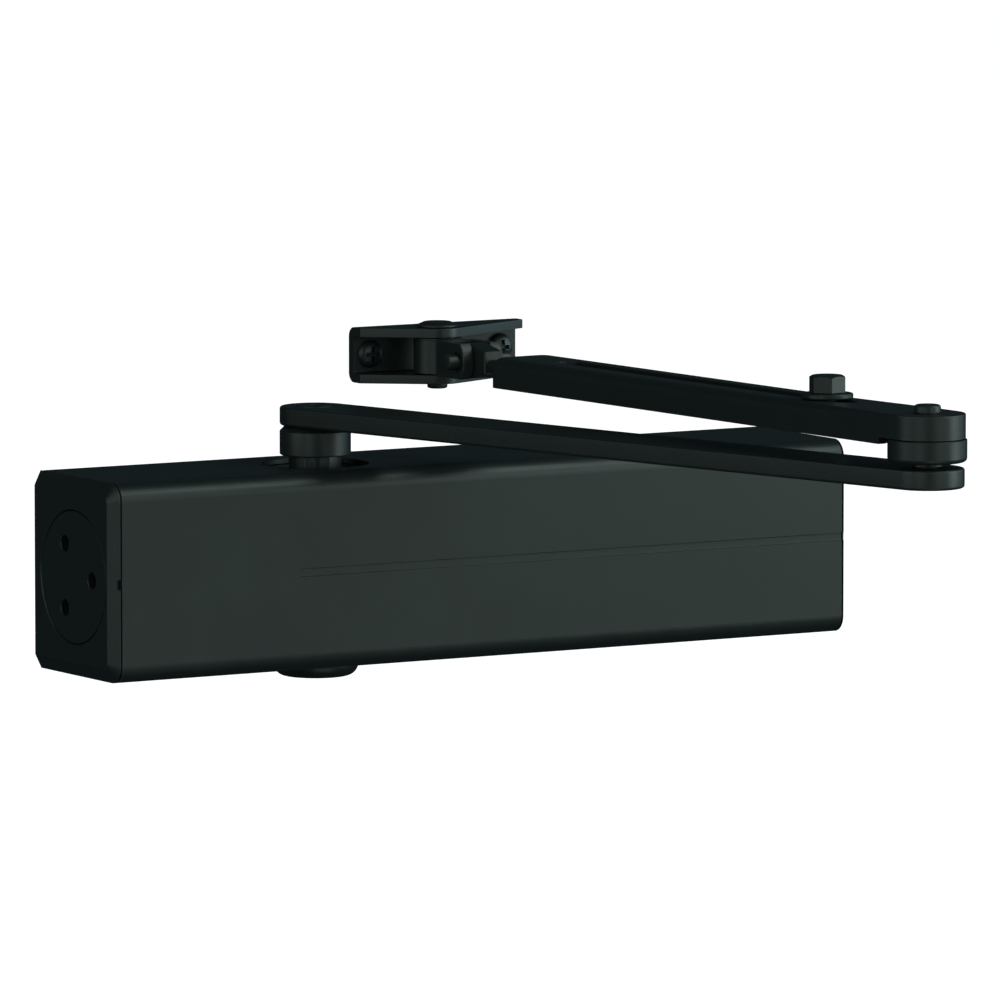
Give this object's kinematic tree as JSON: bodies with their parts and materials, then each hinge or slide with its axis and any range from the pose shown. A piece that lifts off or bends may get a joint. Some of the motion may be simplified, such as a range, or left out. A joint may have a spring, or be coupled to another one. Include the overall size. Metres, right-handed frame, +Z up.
{
  "type": "door closer",
  "caption": "Overhead door closer with a rack-and-pinion body under a wrap-round cover, a main arm, a slotted telescoping forearm and a swivelling frame bracket.",
  "frame": {"origin": "centre of the flat back face of the body, which lies on the door", "axes": "+X along the body to the right as seen from the front, +Y into the door, +Z up"},
  "size_m": [0.26, 0.2806, 0.1048],
  "materials": {
    "cover_enamel": "satin near-black enamel with a faint green-grey cast",
    "dark_enamel": "satin near-black enamel on steel",
    "cast_alloy": "die-cast alloy under the same satin near-black enamel",
    "bright_steel": "ground steel",
    "black_steel": "blackened steel",
    "spring_steel": "oil-hardened spring wire",
    "seal_rubber": "matt nitrile rubber",
    "bearing_bronze": "machined bronze"
  },
  "bodies": {
    "housing": {"housing": "cast_alloy", "cover": "cover_enamel", "left_end_plug": "dark_enamel", "right_end_plug": "dark_enamel", "left_plug_seal": "seal_rubber", "right_plug_seal": "seal_rubber", "mounting_screw_upper_left": "bright_steel", "mounting_screw_lower_left": "bright_steel", "mounting_screw_upper_right": "bright_steel", "mounting_screw_lower_right": "bright_steel", "upper_bearing": "bearing_bronze", "lower_bearing": "bearing_bronze", "upper_shaft_seal": "seal_rubber", "lower_shaft_seal": "seal_rubber", "upper_gland_nut": "black_steel", "lower_gland_nut": "black_steel", "spindle_cap": "cover_enamel", "spring_seat": "bright_steel", "main_spring": "spring_steel"},
    "closing_valve": {"closing_valve": "bearing_bronze"},
    "latching_valve": {"latching_valve": "bearing_bronze"},
    "backcheck_valve": {"backcheck_valve": "bearing_bronze"},
    "power_screw": {"power_screw": "bright_steel"},
    "piston": {"piston": "bright_steel", "piston_seal": "seal_rubber", "check_valve_seat": "bearing_bronze", "check_valve_ball": "bright_steel"},
    "arm": {"spindle": "black_steel", "spindle_collar": "cover_enamel", "main_arm": "dark_enamel", "arm_screw": "black_steel"},
    "forearm": {"forearm": "dark_enamel", "elbow_hub": "dark_enamel", "elbow_pin": "dark_enamel", "elbow_washer": "black_steel", "elbow_clip": "black_steel"},
    "slider": {"slider": "dark_enamel", "clamp_bolt": "dark_enamel", "clamp_washer": "dark_enamel", "clamp_nut": "bright_steel"},
    "fork": {"swivel_fork": "dark_enamel", "cross_pin": "dark_enamel"},
    "bracket": {"frame_bracket": "dark_enamel", "pivot_pin": "dark_enamel", "pivot_washer_upper": "bearing_bronze", "pivot_washer_lower": "bearing_bronze", "bracket_screw_left": "black_steel", "bracket_screw_right": "black_steel"}
  },
  "joints": [
    {"name": "arm_swing", "type": "hinge", "parent": "housing", "child": "arm", "pos_m": [-0.0463, -0.0242, 0], "axis": [0, 0, 1], "range_deg": [-15, 150], "stiffness_Nm_per_rad": 1.5},
    {"name": "piston_slide", "type": "slide", "parent": "housing", "child": "piston", "axis": [1, 0, 0], "range_m": [-0.002, 0.0197], "deforming": ["main_spring"]},
    {"name": "elbow_hinge", "type": "hinge", "parent": "arm", "child": "forearm", "pos_m": [0.01521, -0.26909, 0.0557], "axis": [0, 0, 1], "range_deg": [-160, 20]},
    {"name": "reach_slide", "type": "slide", "parent": "forearm", "child": "slider", "axis": [-0.0515, 0.9987, 0], "range_m": [-0.006, 0.13]},
    {"name": "fork_tilt", "type": "hinge", "parent": "slider", "child": "fork", "pos_m": [0.00323, -0.03647, 0.0598], "axis": [-0.9987, -0.0515, 0], "range_deg": [-15, 15]},
    {"name": "bracket_swivel", "type": "hinge", "parent": "fork", "child": "bracket", "pos_m": [0.00212, -0.015, 0.0599], "axis": [0, 0, 1], "range_deg": [-75, 75]},
    {"name": "power_screw_turn", "type": "hinge", "parent": "housing", "child": "power_screw", "pos_m": [0.13, -0.0242, 0], "axis": [1, 0, 0], "range_deg": [-180, 180]},
    {"name": "closing_valve_turn", "type": "hinge", "parent": "housing", "child": "closing_valve", "pos_m": [-0.094, -0.0473, 0.0212], "axis": [0, 1, 0], "range_deg": [-180, 180]},
    {"name": "latching_valve_turn", "type": "hinge", "parent": "housing", "child": "latching_valve", "pos_m": [-0.078, -0.0473, 0.0212], "axis": [0, 1, 0], "range_deg": [-180, 180]},
    {"name": "backcheck_valve_turn", "type": "hinge", "parent": "housing", "child": "backcheck_valve", "pos_m": [-0.094, -0.0473, -0.0212], "axis": [0, 1, 0], "range_deg": [-180, 180]}
  ],
  "couplings": [
    {"joint": "piston_slide", "follows": "arm_swing", "m_per_rad": 0.0075}
  ]
}
